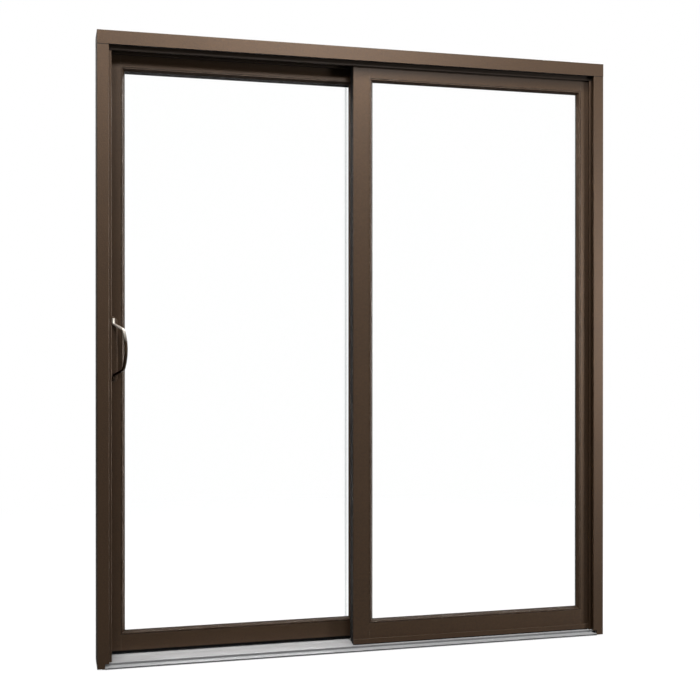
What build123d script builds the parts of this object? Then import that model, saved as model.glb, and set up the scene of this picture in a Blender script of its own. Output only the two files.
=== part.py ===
from build123d import *
import os

# Two-panel gliding patio door seen from its outer side: one panel slides, one is fixed.
# Millimetres. X runs along the wall, Z is up and the outer face looks to -Y.
# The origin is on the underside of the sill, centred in the width and in the frame's depth.

# Frame
frame_width = 1810.0
frame_height = 2092.0
head_board = 30.0
head_fascia_height = 46.0
jamb_board = 16.5
jamb_lip_width = 38.5
lip_thickness = 11.0
rib_front = 18.0
rib_thickness = 8.0
rib_reach = 47.5
head_rib_drop = 60.5
cladding_set_back = 10.0
jamb_foot_rise = 5.0
jamb_cope_inset = 25.0
jamb_cope_height = 21.0
edge_radius = 1.5

# Panels, both alike
panel_overlap = 74.0
panel_bottom = 38.0
panel_head_gap = 8.5
panel_thickness = 38.0
stile_face = 60.0
top_rail_face = 60.0
bottom_rail_face = 56.5
panel_edge_radius = 3.0
bead_width = 12.0
bead_depth = 12.0
bead_nose = 1.5
bead_set_back = 1.0
bead_land = 4.5
bead_groove_width = 2.0
bead_groove_depth = 4.0
stop_width = 8.0
stop_nose = 1.5
panel_spacing = 18.0
slide_clearance = 5.0
fixed_side_gap = 2.0
open_reveal = 88.0

# Glass unit
pane_thickness = 3.0
pane_spacing = 8.0
pane_edge_gap = 2.0
spacer_width = 7.0

# Sill, track and thresholds
sill_slope_low = 20.5
sill_slope_high = 31.0
sill_nose_depth = 14.0
sill_nose_low = 3.0
sill_nose_front = 8.0
sill_nose_top = 13.0
sill_channel_floor = 26.0
track_ridge_width = 4.4
track_rise = 10.0
track_cap_wall = 0.8
track_cap_skirt = 12.0
threshold_height = 60.0
threshold_radius = 3.0
retainer_flange = 4.0
retainer_lap = 4.0
interior_stop_thickness = 15.0
interior_stop_reach = 28.0

# Rollers in the groove under the sliding panel
groove_width = 16.0
groove_depth = 40.0
wheel_tread_radius = 12.0
wheel_rim_radius = 13.5
wheel_width = 10.0
tread_width = 6.6
track_running_gap = 0.3
axle_radius = 3.0
axle_running_gap = 0.05
housing_wall = 1.5
housing_length = 64.0
housing_inset = 70.0

# Interlock between the meeting stiles
interlock_wall = 1.5
interlock_lip = 14.0
interlock_flange = 16.0
interlock_offset = 23.5

# Pulls and lock
pull_height = 1048.0
escutcheon_length = 222.0
escutcheon_width = 35.0
escutcheon_thickness = 5.0
escutcheon_bevel = 1.6
bow_root_offset = 5.5
bow_root_rise = 2.0
bow_turn = 45.0
bow_reach = 55.5
bow_radius = 190.0
bow_sweep = 19.0
shoulder_radius = 12.0
shoulder_sweep = 48.0
neck_length = 35.9
root_radius = 9.0
root_length = 13.5
strap_width = 12.0
strap_thickness = 5.5
strap_bevel = 1.6
thumb_offset = 4.0
thumb_rose_radius = 11.0
thumb_rose_rise = 2.5
thumb_length = 20.0
thumb_thickness = 6.0
thumb_reach = 14.0
lock_face_width = 16.0
lock_face_length = 170.0
lock_face_thickness = 2.0
keeper_length = 120.0
hook_slot_length = 26.0
hook_slot_width = 7.0
hook_spacing = 70.0
install_hole_radius = 3.25
install_hole_low = 150.0
install_hole_top_inset = 142.0
install_hole_count = 4

# Stop for the open panel
stop_lap = 10.0
stop_length = 25.0

# Depths from the outer face of the frame inwards
fixed_front = rib_front + rib_thickness
fixed_back = fixed_front + panel_thickness
sliding_front = fixed_back + panel_spacing
sliding_back = sliding_front + panel_thickness
sliding_middle = sliding_front + panel_thickness / 2
cladding_depth = sliding_back - cladding_set_back
interior_stop_front = sliding_back + slide_clearance
frame_depth = interior_stop_front + interior_stop_thickness
outer_pane_front = bead_depth
inner_pane_back = outer_pane_front + 2 * pane_thickness + pane_spacing

# Places across the width
half_width = frame_width / 2
opening_half = half_width - jamb_board
sliding_left = -opening_half + slide_clearance
fixed_right = opening_half - fixed_side_gap
panel_width = (fixed_right - sliding_left + panel_overlap) / 2
sliding_right = sliding_left + panel_width
fixed_left = fixed_right - panel_width
slide_travel = fixed_left - open_reveal - sliding_left

# Heights
soffit = frame_height - head_board
head_face_bottom = frame_height - head_fascia_height
head_rib_bottom = frame_height - head_rib_drop
panel_top = soffit - panel_head_gap
track_top = panel_bottom + track_rise
hook_heights = [pull_height - hook_spacing / 2, pull_height + hook_spacing / 2]
glass_pocket_low = panel_bottom + bottom_rail_face
glass_pocket_high = panel_top - top_rail_face
install_hole_pitch = (
    frame_height - install_hole_top_inset - install_hole_low
) / (install_hole_count - 1)
install_hole_heights = [
    install_hole_low + number * install_hole_pitch for number in range(install_hole_count)
]


def y_at(depth):
    """Row Y of a depth measured inwards from the outer face of the frame."""
    return depth - frame_depth / 2


def slope_at(depth):
    """Height of the sloped top of the sill at a depth."""
    run = sliding_front - slide_clearance - sill_nose_depth
    return sill_slope_low + (sill_slope_high - sill_slope_low) * (depth - sill_nose_depth) / run


def box_between(low, high):
    """A block from its lowest to its highest corner, in the open builder."""
    size = [b - a for a, b in zip(low, high)]
    middle = [(a + b) / 2 for a, b in zip(low, high)]
    with Locations(tuple(middle)):
        Box(*size)


def section_along_x(points, x_low, x_high, rounded=(), radius=edge_radius):
    """A section of (depth, height) points drawn out along X, with chosen corners rounded."""
    with BuildPart() as bar:
        with BuildSketch(Plane.YZ.offset(x_low)) as section:
            with BuildLine():
                Polyline(*[(y_at(d), z) for d, z in points], close=True)
            make_face()
            for d, z in rounded:
                corner = section.vertices().sort_by_distance((y_at(d), z))[0]
                fillet(corner, radius)
        extrude(amount=x_high - x_low)
    return bar.part


def section_along_z(points, z_low, z_high, rounded=(), radius=edge_radius):
    """A section of (x, depth) points drawn up along Z, with chosen corners rounded."""
    with BuildPart() as post:
        with BuildSketch(Plane.XY.offset(z_low)) as section:
            with BuildLine():
                Polyline(*[(x, y_at(d)) for x, d in points], close=True)
            make_face()
            for x, d in rounded:
                corner = section.vertices().sort_by_distance((x, y_at(d)))[0]
                fillet(corner, radius)
        extrude(amount=z_high - z_low)
    return post.part


os.makedirs("parts", exist_ok=True)


def keep(part, label):
    """Label a finished piece and write its file."""
    part.label = label
    export_step(part, f"parts/{label}.step")


# Sill: sloped aluminium extrusion with a nose, a running channel and the ridge of the track
slope_end = sliding_front - slide_clearance
ridge_left = sliding_middle - track_ridge_width / 2
ridge_right = sliding_middle + track_ridge_width / 2
with BuildPart() as sill:
    add(section_along_x(
        [
            (sill_nose_depth, 0),
            (frame_depth, 0),
            (frame_depth, sill_channel_floor),
            (ridge_right, sill_channel_floor),
            (ridge_right, track_top - track_cap_wall),
            (ridge_left, track_top - track_cap_wall),
            (ridge_left, sill_channel_floor),
            (slope_end, sill_channel_floor),
            (slope_end, sill_slope_high),
            (sill_nose_depth, sill_slope_low),
        ],
        -opening_half,
        opening_half,
        rounded=[(slope_end, sill_slope_high), (sill_nose_depth, sill_slope_low)],
    ))
    nose_half = half_width - jamb_cope_inset
    add(section_along_x(
        [
            (0, sill_nose_low),
            (sill_nose_depth, sill_nose_low),
            (sill_nose_depth, sill_nose_top),
            (0, sill_nose_front),
        ],
        -nose_half,
        nose_half,
        rounded=[(0, sill_nose_front)],
    ))
keep(sill.part, "sill")

# Stainless cap that the wheels run on
cap_left = ridge_left - track_cap_wall
cap_right = ridge_right + track_cap_wall
cap_bottom = track_top - track_cap_skirt
with BuildPart() as roller_track:
    add(section_along_x(
        [
            (cap_left, cap_bottom),
            (cap_left, track_top),
            (cap_right, track_top),
            (cap_right, cap_bottom),
            (ridge_right, cap_bottom),
            (ridge_right, track_top - track_cap_wall),
            (ridge_left, track_top - track_cap_wall),
            (ridge_left, cap_bottom),
        ],
        -opening_half,
        opening_half,
        rounded=[(cap_left, track_top), (cap_right, track_top)],
        radius=track_cap_wall,
    ))
keep(roller_track.part, "roller_track")

# Raised threshold on the room side of the running channel
with BuildPart() as interior_threshold:
    add(section_along_x(
        [
            (interior_stop_front, sill_channel_floor),
            (frame_depth, sill_channel_floor),
            (frame_depth, threshold_height),
            (interior_stop_front, threshold_height),
        ],
        -opening_half,
        opening_half,
        rounded=[(frame_depth, threshold_height), (interior_stop_front, threshold_height)],
        radius=threshold_radius,
    ))
keep(interior_threshold.part, "interior_threshold")

# Head: full-width fascia and board outside, rib between the jambs
with BuildPart() as head_cladding:
    add(section_along_x(
        [
            (0, head_face_bottom),
            (lip_thickness, head_face_bottom),
            (lip_thickness, soffit),
            (cladding_depth, soffit),
            (cladding_depth, frame_height),
            (0, frame_height),
        ],
        -half_width,
        half_width,
        rounded=[(0, head_face_bottom), (0, frame_height)],
    ))
    add(section_along_x(
        [
            (rib_front, head_rib_bottom),
            (fixed_front, head_rib_bottom),
            (fixed_front, soffit),
            (rib_front, soffit),
        ],
        -opening_half,
        opening_half,
        rounded=[(rib_front, head_rib_bottom)],
    ))
keep(head_cladding.part, "head_cladding")

# Guide strip in the head between the two panels
with BuildPart() as head_guide:
    add(section_along_x(
        [
            (fixed_back, head_rib_bottom),
            (sliding_front - slide_clearance, head_rib_bottom),
            (sliding_front - slide_clearance, soffit),
            (fixed_back, soffit),
        ],
        -opening_half,
        opening_half,
        rounded=[
            (fixed_back, head_rib_bottom),
            (sliding_front - slide_clearance, head_rib_bottom),
        ],
    ))
keep(head_guide.part, "head_guide")

# Room-side lining of the head with the stop that covers the panel's top edge
with BuildPart() as head_liner:
    add(section_along_x(
        [
            (cladding_depth, soffit),
            (frame_depth, soffit),
            (frame_depth, frame_height),
            (cladding_depth, frame_height),
        ],
        -half_width,
        half_width,
        rounded=[(frame_depth, frame_height)],
    ))
    add(section_along_x(
        [
            (interior_stop_front, head_rib_bottom),
            (frame_depth, head_rib_bottom),
            (frame_depth, soffit),
            (interior_stop_front, soffit),
        ],
        -opening_half,
        opening_half,
        rounded=[(frame_depth, head_rib_bottom), (interior_stop_front, head_rib_bottom)],
    ))
keep(head_liner.part, "head_liner")


def jamb_cladding(side):
    """Outer part of a jamb: lip, screen rib and board, coped over the sill. side is -1 or 1."""
    outer = side * half_width
    board = side * opening_half
    lip = side * (half_width - jamb_lip_width)
    rib = side * (half_width - rib_reach)
    cope = side * (half_width - jamb_cope_inset)
    with BuildPart() as jamb:
        add(section_along_z(
            [
                (outer, 0),
                (lip, 0),
                (lip, lip_thickness),
                (board, lip_thickness),
                (board, cladding_depth),
                (outer, cladding_depth),
            ],
            jamb_foot_rise,
            head_face_bottom,
            rounded=[(outer, 0), (lip, 0)],
        ))
        box_between(
            (min(outer, board), y_at(lip_thickness), head_face_bottom),
            (max(outer, board), y_at(cladding_depth), soffit),
        )
        add(section_along_z(
            [(board, rib_front), (rib, rib_front), (rib, fixed_front), (board, fixed_front)],
            jamb_foot_rise,
            head_rib_bottom,
            rounded=[(rib, rib_front)],
        ))
        with BuildSketch(Plane.XZ.offset(-y_at(0))) as cope_outline:
            with Locations(((lip + cope) / 2, (jamb_foot_rise + jamb_cope_height) / 2)):
                Rectangle(abs(cope - lip), jamb_cope_height - jamb_foot_rise)
        extrude(amount=-lip_thickness, mode=Mode.SUBTRACT)
        add(sill.part, mode=Mode.SUBTRACT)
        with BuildSketch(Plane.YZ.offset(board)) as screw_places:
            with Locations([(y_at(sliding_middle), z) for z in install_hole_heights]):
                Circle(install_hole_radius)
        extrude(amount=side * jamb_board, mode=Mode.SUBTRACT)
        if side == -1:
            with BuildSketch(Plane.YZ.offset(board)):
                with Locations((y_at(sliding_middle), pull_height)):
                    Rectangle(lock_face_width, keeper_length)
            extrude(amount=-lock_face_thickness, mode=Mode.SUBTRACT)
    return jamb.part


def jamb_liner(side):
    """Room-side part of a jamb with the stop that covers the panel's edge."""
    outer = side * half_width
    board = side * opening_half
    stop = side * (half_width - interior_stop_reach)
    with BuildPart() as liner:
        box_between(
            (min(outer, board), y_at(cladding_depth), jamb_foot_rise),
            (max(outer, board), y_at(frame_depth), soffit),
        )
        add(section_along_z(
            [
                (board, interior_stop_front),
                (stop, interior_stop_front),
                (stop, frame_depth),
                (board, frame_depth),
            ],
            threshold_height,
            head_rib_bottom,
            rounded=[(stop, frame_depth), (stop, interior_stop_front)],
        ))
    return liner.part


for side, side_name in ((-1, "left"), (1, "right")):
    keep(jamb_cladding(side), f"{side_name}_jamb_cladding")
    keep(jamb_liner(side), f"{side_name}_jamb_liner")

# Support and retainer under the fixed panel, its foot on the slope of the sill
retainer_front = fixed_front - retainer_flange
rib_edge = half_width - rib_reach
with BuildPart() as fixed_retainer:
    add(section_along_x(
        [
            (fixed_front, slope_at(fixed_front)),
            (fixed_back, slope_at(fixed_back)),
            (fixed_back, panel_bottom),
            (fixed_front, panel_bottom),
        ],
        fixed_left,
        opening_half,
    ))
    add(section_along_x(
        [
            (retainer_front, slope_at(retainer_front)),
            (fixed_front, slope_at(fixed_front)),
            (fixed_front, panel_bottom + retainer_lap),
            (retainer_front, panel_bottom + retainer_lap),
        ],
        fixed_left,
        rib_edge,
        rounded=[(retainer_front, panel_bottom + retainer_lap)],
    ))
keep(fixed_retainer.part, "fixed_panel_retainer")


def groove_cut():
    """Cut the groove for the track and rollers out of the open builder."""
    box = Box(
        2 * frame_width, groove_width, groove_depth,
        align=(Align.CENTER, Align.CENTER, Align.MIN),
        mode=Mode.PRIVATE,
    )
    add(box.moved(Location((0, y_at(sliding_middle), panel_bottom))), mode=Mode.SUBTRACT)


def panel_blank(left_edge, front):
    """A whole panel in one piece: rounded edge, glass pocket and a bead mitred round the glass."""
    middle_x = left_edge + panel_width / 2
    pocket_middle = (glass_pocket_low + glass_pocket_high) / 2
    pocket_width = panel_width - 2 * stile_face
    pocket_height = glass_pocket_high - glass_pocket_low
    face = Plane.XZ.offset(-y_at(front))
    bead_front = Plane.XZ.offset(-y_at(front + bead_set_back))
    nose_front = Plane.XZ.offset(-y_at(front + bead_depth - bead_nose))
    bead_back = Plane.XZ.offset(-y_at(front + bead_depth))
    with BuildPart() as blank:
        box_between(
            (left_edge, y_at(front), panel_bottom),
            (left_edge + panel_width, y_at(front + panel_thickness), panel_top),
        )
        fillet(blank.faces().sort_by(Axis.Y)[0].edges(), panel_edge_radius)
        fillet(blank.faces().sort_by(Axis.Y)[-1].edges(), edge_radius)
        with BuildSketch(face):
            with Locations((middle_x, pocket_middle)):
                Rectangle(pocket_width, pocket_height)
        extrude(amount=-bead_set_back, mode=Mode.SUBTRACT)
        with BuildSketch(bead_front):
            with Locations((middle_x, pocket_middle)):
                Rectangle(pocket_width, pocket_height)
                Rectangle(
                    pocket_width - 2 * bead_groove_width,
                    pocket_height - 2 * bead_groove_width,
                    mode=Mode.SUBTRACT,
                )
        extrude(amount=-bead_groove_depth, mode=Mode.SUBTRACT)
        with BuildSketch(bead_front):
            with Locations((middle_x, pocket_middle)):
                Rectangle(pocket_width - 2 * bead_land, pocket_height - 2 * bead_land)
        with BuildSketch(nose_front):
            with Locations((middle_x, pocket_middle)):
                Rectangle(pocket_width - 2 * bead_width, pocket_height - 2 * bead_width)
        loft(mode=Mode.SUBTRACT)
        with BuildSketch(nose_front):
            with Locations((middle_x, pocket_middle)):
                Rectangle(pocket_width - 2 * bead_width, pocket_height - 2 * bead_width)
        extrude(amount=-bead_nose, mode=Mode.SUBTRACT)
        with BuildSketch(bead_back):
            with Locations((middle_x, pocket_middle)):
                Rectangle(pocket_width, pocket_height)
        extrude(amount=bead_depth - panel_thickness, mode=Mode.SUBTRACT)
    return blank.part


def member_of(blank, outline_points, grooved, lock_edge=None):
    """The part of a panel blank inside an outline of (x, z) points, grooved and housed if asked."""
    with BuildPart() as member:
        with BuildSketch(Plane.XZ):
            with BuildLine():
                Polyline(*outline_points, close=True)
            make_face()
        extrude(amount=frame_depth, both=True)
        add(blank, mode=Mode.INTERSECT)
        if grooved:
            groove_cut()
        if lock_edge is not None:
            with BuildSketch(Plane.YZ.offset(lock_edge)):
                with Locations((y_at(sliding_middle), pull_height)):
                    Rectangle(lock_face_width, lock_face_length)
            extrude(amount=lock_face_thickness, mode=Mode.SUBTRACT)
    return member.part


def stile(left_edge, front, side, blank):
    """A full-height stile. side is 1 when the glass is to its right and -1 to its left."""
    outer = left_edge if side == 1 else left_edge + panel_width
    inner = outer + side * stile_face
    tip = inner + side * bead_width
    slides = front == sliding_front
    return member_of(
        blank,
        [
            (outer, panel_bottom),
            (inner, panel_bottom),
            (inner, glass_pocket_low),
            (tip, glass_pocket_low + bead_width),
            (tip, glass_pocket_high - bead_width),
            (inner, glass_pocket_high),
            (inner, panel_top),
            (outer, panel_top),
        ],
        grooved=slides,
        lock_edge=outer if slides and side == 1 else None,
    )


def rail(left_edge, front, side, blank):
    """A rail between the stiles. side is 1 for the bottom rail and -1 for the top rail."""
    outer = panel_bottom if side == 1 else panel_top
    inner = glass_pocket_low if side == 1 else glass_pocket_high
    tip = inner + side * bead_width
    x_low = left_edge + stile_face
    x_high = left_edge + panel_width - stile_face
    return member_of(
        blank,
        [
            (x_low, outer),
            (x_high, outer),
            (x_high, inner),
            (x_high - bead_width, tip),
            (x_low + bead_width, tip),
            (x_low, inner),
        ],
        grooved=front == sliding_front and side == 1,
    )


def pane(left_edge, front):
    """A sheet of glass whose outer face is at a depth."""
    edge = stile_face + pane_edge_gap
    with BuildPart() as sheet:
        box_between(
            (left_edge + edge, y_at(front), glass_pocket_low + pane_edge_gap),
            (
                left_edge + panel_width - edge,
                y_at(front + pane_thickness),
                glass_pocket_high - pane_edge_gap,
            ),
        )
    return sheet.part


def spacer_frame(left_edge, front):
    """The bar round the edge of the sealed unit, between its two panes."""
    middle = left_edge + panel_width / 2
    width = panel_width - 2 * (stile_face + pane_edge_gap)
    height = glass_pocket_high - glass_pocket_low - 2 * pane_edge_gap
    with BuildPart() as ring:
        with BuildSketch(Plane.XZ.offset(-y_at(front))):
            with Locations((middle, (glass_pocket_high + glass_pocket_low) / 2)):
                Rectangle(width, height)
                Rectangle(
                    width - 2 * spacer_width, height - 2 * spacer_width, mode=Mode.SUBTRACT
                )
        extrude(amount=-pane_spacing)
    return ring.part


def glazing_stop(left_edge, front, place):
    """A mitred stop that holds the glass from the room side."""
    x_low = left_edge + stile_face
    x_high = left_edge + panel_width - stile_face
    z_low = glass_pocket_low
    z_high = glass_pocket_high
    w = stop_width
    outlines = {
        "left": [(x_low, z_low), (x_low + w, z_low + w), (x_low + w, z_high - w), (x_low, z_high)],
        "right": [
            (x_high, z_low), (x_high, z_high), (x_high - w, z_high - w), (x_high - w, z_low + w)
        ],
        "bottom": [(x_low, z_low), (x_high, z_low), (x_high - w, z_low + w), (x_low + w, z_low + w)],
        "top": [
            (x_low, z_high), (x_low + w, z_high - w), (x_high - w, z_high - w), (x_high, z_high)
        ],
    }
    near = front + inner_pane_back
    far = front + panel_thickness
    with BuildPart() as stop:
        with BuildSketch(Plane.XZ):
            with BuildLine():
                Polyline(*outlines[place], close=True)
            make_face()
        extrude(amount=frame_depth, both=True)
        if place in ("left", "right"):
            root = x_low if place == "left" else x_high
            tip = root + (w if place == "left" else -w)
            section = section_along_z(
                [(root, near), (tip, near), (tip, near + stop_nose), (root, far)], z_low, z_high
            )
        else:
            root = z_low if place == "bottom" else z_high
            tip = root + (w if place == "bottom" else -w)
            section = section_along_x(
                [(near, root), (near, tip), (near + stop_nose, tip), (far, root)], x_low, x_high
            )
        add(section, mode=Mode.INTERSECT)
    return stop.part


# The two panels, the closing stile of the sliding one housed for its lock plate
for left_edge, front, panel_name in (
    (fixed_left, fixed_front, "fixed"),
    (sliding_left, sliding_front, "sliding"),
):
    blank = panel_blank(left_edge, front)
    keep(stile(left_edge, front, 1, blank), f"{panel_name}_left_stile")
    keep(stile(left_edge, front, -1, blank), f"{panel_name}_right_stile")
    keep(rail(left_edge, front, 1, blank), f"{panel_name}_bottom_rail")
    keep(rail(left_edge, front, -1, blank), f"{panel_name}_top_rail")
    keep(pane(left_edge, front + outer_pane_front), f"{panel_name}_outer_pane")
    keep(pane(left_edge, front + inner_pane_back - pane_thickness), f"{panel_name}_inner_pane")
    keep(
        spacer_frame(left_edge, front + outer_pane_front + pane_thickness),
        f"{panel_name}_glass_spacer",
    )
    for place in ("left", "right", "bottom", "top"):
        keep(glazing_stop(left_edge, front, place), f"{panel_name}_{place}_glazing_stop")

# Interlock: a hooked strip on each meeting stile, the two lips passing each other when closed
fixed_leg = fixed_left + interlock_offset
sliding_leg = fixed_leg + interlock_wall + slide_clearance + interlock_lip
fixed_lip_back = sliding_front - slide_clearance
with BuildPart() as fixed_interlock:
    add(section_along_z(
        [
            (fixed_leg - interlock_flange, fixed_back),
            (fixed_leg + interlock_wall, fixed_back),
            (fixed_leg + interlock_wall, fixed_lip_back - interlock_wall),
            (fixed_leg + interlock_lip, fixed_lip_back - interlock_wall),
            (fixed_leg + interlock_lip, fixed_lip_back),
            (fixed_leg, fixed_lip_back),
            (fixed_leg, fixed_back + interlock_wall),
            (fixed_leg - interlock_flange, fixed_back + interlock_wall),
        ],
        panel_bottom,
        head_rib_bottom,
    ))
keep(fixed_interlock.part, "fixed_interlock")

sliding_lip_front = fixed_back + slide_clearance
with BuildPart() as sliding_interlock:
    add(section_along_z(
        [
            (sliding_leg + interlock_flange, sliding_front),
            (sliding_leg - interlock_wall, sliding_front),
            (sliding_leg - interlock_wall, sliding_lip_front + interlock_wall),
            (sliding_leg - interlock_lip, sliding_lip_front + interlock_wall),
            (sliding_leg - interlock_lip, sliding_lip_front),
            (sliding_leg, sliding_lip_front),
            (sliding_leg, sliding_front - interlock_wall),
            (sliding_leg + interlock_flange, sliding_front - interlock_wall),
        ],
        panel_bottom,
        head_rib_bottom - slide_clearance,
    ))
keep(sliding_interlock.part, "sliding_interlock")

# Pulls: a cast bow on a slim plate, turned towards the glass so that fingers clear the jamb
plate_x = sliding_left + stile_face / 2
plate_face = y_at(sliding_front) - escutcheon_thickness
bow_plane = Plane(
    origin=(plate_x + bow_root_offset, plate_face - bow_root_rise, pull_height),
    x_dir=Vector(1, 0, 0).rotate(Axis.Z, -bow_turn),
    z_dir=Vector(0, -1, 0).rotate(Axis.Z, -bow_turn),
)
with BuildPart() as exterior_pull:
    with BuildSketch(Plane.XZ.offset(-y_at(sliding_front))):
        with Locations((plate_x, pull_height)):
            SlotOverall(escutcheon_length, escutcheon_width, rotation=90)
    extrude(amount=escutcheon_thickness)
    plate_rim = exterior_pull.faces().sort_by(Axis.Y)[0].edges()
    chamfer(plate_rim, escutcheon_bevel)
    with BuildLine(bow_plane) as bow_path:
        upper = JernArc((bow_reach, 0), (0, 1), bow_radius, bow_sweep)
        upper_shoulder = JernArc(upper @ 1, upper % 1, shoulder_radius, shoulder_sweep)
        neck_end = upper_shoulder @ 1 + (upper_shoulder % 1) * neck_length
        upper_neck = Line(upper_shoulder @ 1, neck_end)
        upper_root = JernArc(
            upper_neck @ 1, upper_neck % 1, root_radius, -(bow_sweep + shoulder_sweep)
        )
        Line(upper_root @ 1, upper_root @ 1 + (upper_root % 1) * root_length)
        mirror(about=Plane(bow_plane.origin, x_dir=bow_plane.x_dir, z_dir=(0, 0, 1)))
    bow_wire = bow_path.wires()[0]
    with BuildSketch(Plane(bow_wire @ 0, x_dir=bow_plane.z_dir, z_dir=bow_wire % 0)):
        strap = Rectangle(strap_width, strap_thickness)
        chamfer(strap.vertices(), strap_bevel)
    sweep(path=bow_wire)
keep(exterior_pull.part, "exterior_pull")

with BuildPart() as interior_pull:
    mirror(exterior_pull.part, about=Plane.XZ.offset(-y_at(sliding_middle)))
keep(interior_pull.part, "interior_pull")

# Thumb turn of the lock on the room-side plate
inner_plate_face = y_at(sliding_back) + escutcheon_thickness
with BuildPart() as thumb_turn:
    with BuildSketch(Plane.XZ.offset(-inner_plate_face)):
        with Locations((plate_x - thumb_offset, pull_height)):
            Circle(thumb_rose_radius)
    extrude(amount=-thumb_rose_rise)
    with BuildSketch(Plane.XZ.offset(-inner_plate_face - thumb_rose_rise)):
        with Locations((plate_x - thumb_offset, pull_height)):
            SlotOverall(thumb_length, thumb_thickness, rotation=90)
    extrude(amount=-thumb_reach)
keep(thumb_turn.part, "thumb_turn")

# Lock plate let into the closing edge and the keeper let into the jamb
with BuildPart() as lock_plate:
    with BuildSketch(Plane.YZ.offset(sliding_left)):
        with Locations((y_at(sliding_middle), pull_height)):
            Rectangle(lock_face_width, lock_face_length)
        with Locations([(y_at(sliding_middle), z) for z in hook_heights]):
            SlotOverall(hook_slot_length, hook_slot_width, rotation=90, mode=Mode.SUBTRACT)
    extrude(amount=lock_face_thickness)
keep(lock_plate.part, "lock_plate")

with BuildPart() as lock_keeper:
    with BuildSketch(Plane.YZ.offset(-opening_half)):
        with Locations((y_at(sliding_middle), pull_height)):
            Rectangle(lock_face_width, keeper_length)
        with Locations([(y_at(sliding_middle), z) for z in hook_heights]):
            SlotOverall(hook_slot_length, hook_slot_width, rotation=90, mode=Mode.SUBTRACT)
    extrude(amount=-lock_face_thickness)
keep(lock_keeper.part, "lock_keeper")

# Rollers: grooved wheels on the track, each in a channel under the bottom rail
wheel_height = track_top + track_running_gap + wheel_tread_radius
groove_top = panel_bottom + groove_depth
wheel_places = [
    (sliding_left + stile_face + housing_inset, y_at(sliding_middle), wheel_height),
    (sliding_right - stile_face - housing_inset, y_at(sliding_middle), wheel_height),
]
with BuildPart() as roller_wheels:
    rim = wheel_width / 2
    tread = tread_width / 2
    bore = axle_radius + axle_running_gap
    for place in wheel_places:
        with BuildSketch(Plane(origin=place, x_dir=(1, 0, 0), z_dir=(0, 0, 1))):
            with BuildLine():
                Polyline(
                    (bore, -rim),
                    (wheel_rim_radius, -rim),
                    (wheel_rim_radius, -tread),
                    (wheel_tread_radius, -tread),
                    (wheel_tread_radius, tread),
                    (wheel_rim_radius, tread),
                    (wheel_rim_radius, rim),
                    (bore, rim),
                    close=True,
                )
            make_face()
        revolve(axis=Axis(place, (0, 1, 0)))
keep(roller_wheels.part, "roller_wheels")

housing_inner = wheel_width / 2 + track_running_gap
housing_outer = housing_inner + housing_wall
with BuildPart() as roller_housings:
    for x, y, z in wheel_places:
        with BuildSketch(Plane.YZ.offset(x - housing_length / 2)):
            with BuildLine():
                Polyline(
                    (y - housing_outer, z - axle_radius - housing_wall),
                    (y - housing_outer, groove_top),
                    (y + housing_outer, groove_top),
                    (y + housing_outer, z - axle_radius - housing_wall),
                    (y + housing_inner, z - axle_radius - housing_wall),
                    (y + housing_inner, groove_top - housing_wall),
                    (y - housing_inner, groove_top - housing_wall),
                    (y - housing_inner, z - axle_radius - housing_wall),
                    close=True,
                )
            make_face()
        extrude(amount=housing_length)
        with BuildSketch(Plane.XZ.offset(-(y - housing_outer))):
            with Locations((x, z)):
                Circle(axle_radius)
        extrude(amount=-2 * housing_outer)
keep(roller_housings.part, "roller_housings")

# Rubber stop in the head that meets the sliding panel when it is fully open
stop_face = sliding_right + slide_travel + slide_clearance
with BuildPart() as travel_stop:
    box_between(
        (stop_face, y_at(sliding_front + slide_clearance), panel_top - stop_lap),
        (stop_face + stop_length, y_at(sliding_back - slide_clearance), soffit),
    )
    chamfer(travel_stop.edges().filter_by(Axis.Y).group_by(Axis.Z)[0], edge_radius)
keep(travel_stop.part, "travel_stop")
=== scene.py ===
import math

import bpy
from mathutils import Matrix, Vector


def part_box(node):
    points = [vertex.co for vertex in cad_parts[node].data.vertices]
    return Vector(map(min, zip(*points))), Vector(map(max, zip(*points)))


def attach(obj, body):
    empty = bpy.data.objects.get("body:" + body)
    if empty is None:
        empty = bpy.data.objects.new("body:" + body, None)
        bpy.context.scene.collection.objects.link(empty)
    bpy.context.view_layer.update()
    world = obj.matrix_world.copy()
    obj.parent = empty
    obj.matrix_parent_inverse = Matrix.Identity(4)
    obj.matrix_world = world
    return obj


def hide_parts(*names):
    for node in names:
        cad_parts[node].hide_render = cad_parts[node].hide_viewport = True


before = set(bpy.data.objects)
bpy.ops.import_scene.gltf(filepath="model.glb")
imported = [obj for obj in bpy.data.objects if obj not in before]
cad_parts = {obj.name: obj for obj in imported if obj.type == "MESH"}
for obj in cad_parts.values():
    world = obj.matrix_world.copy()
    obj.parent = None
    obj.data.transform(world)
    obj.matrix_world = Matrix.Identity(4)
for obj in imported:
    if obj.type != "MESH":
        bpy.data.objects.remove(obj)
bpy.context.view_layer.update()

bl_info = {
    "name": "Sliding patio door finishes",
    "version": (1, 0, 0),
    "blender": (4, 5, 0),
    "location": "View3D > Sidebar > Patio door",
    "description": "Finishes and small pieces for the sliding patio door",
    "category": "Object",
}

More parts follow.
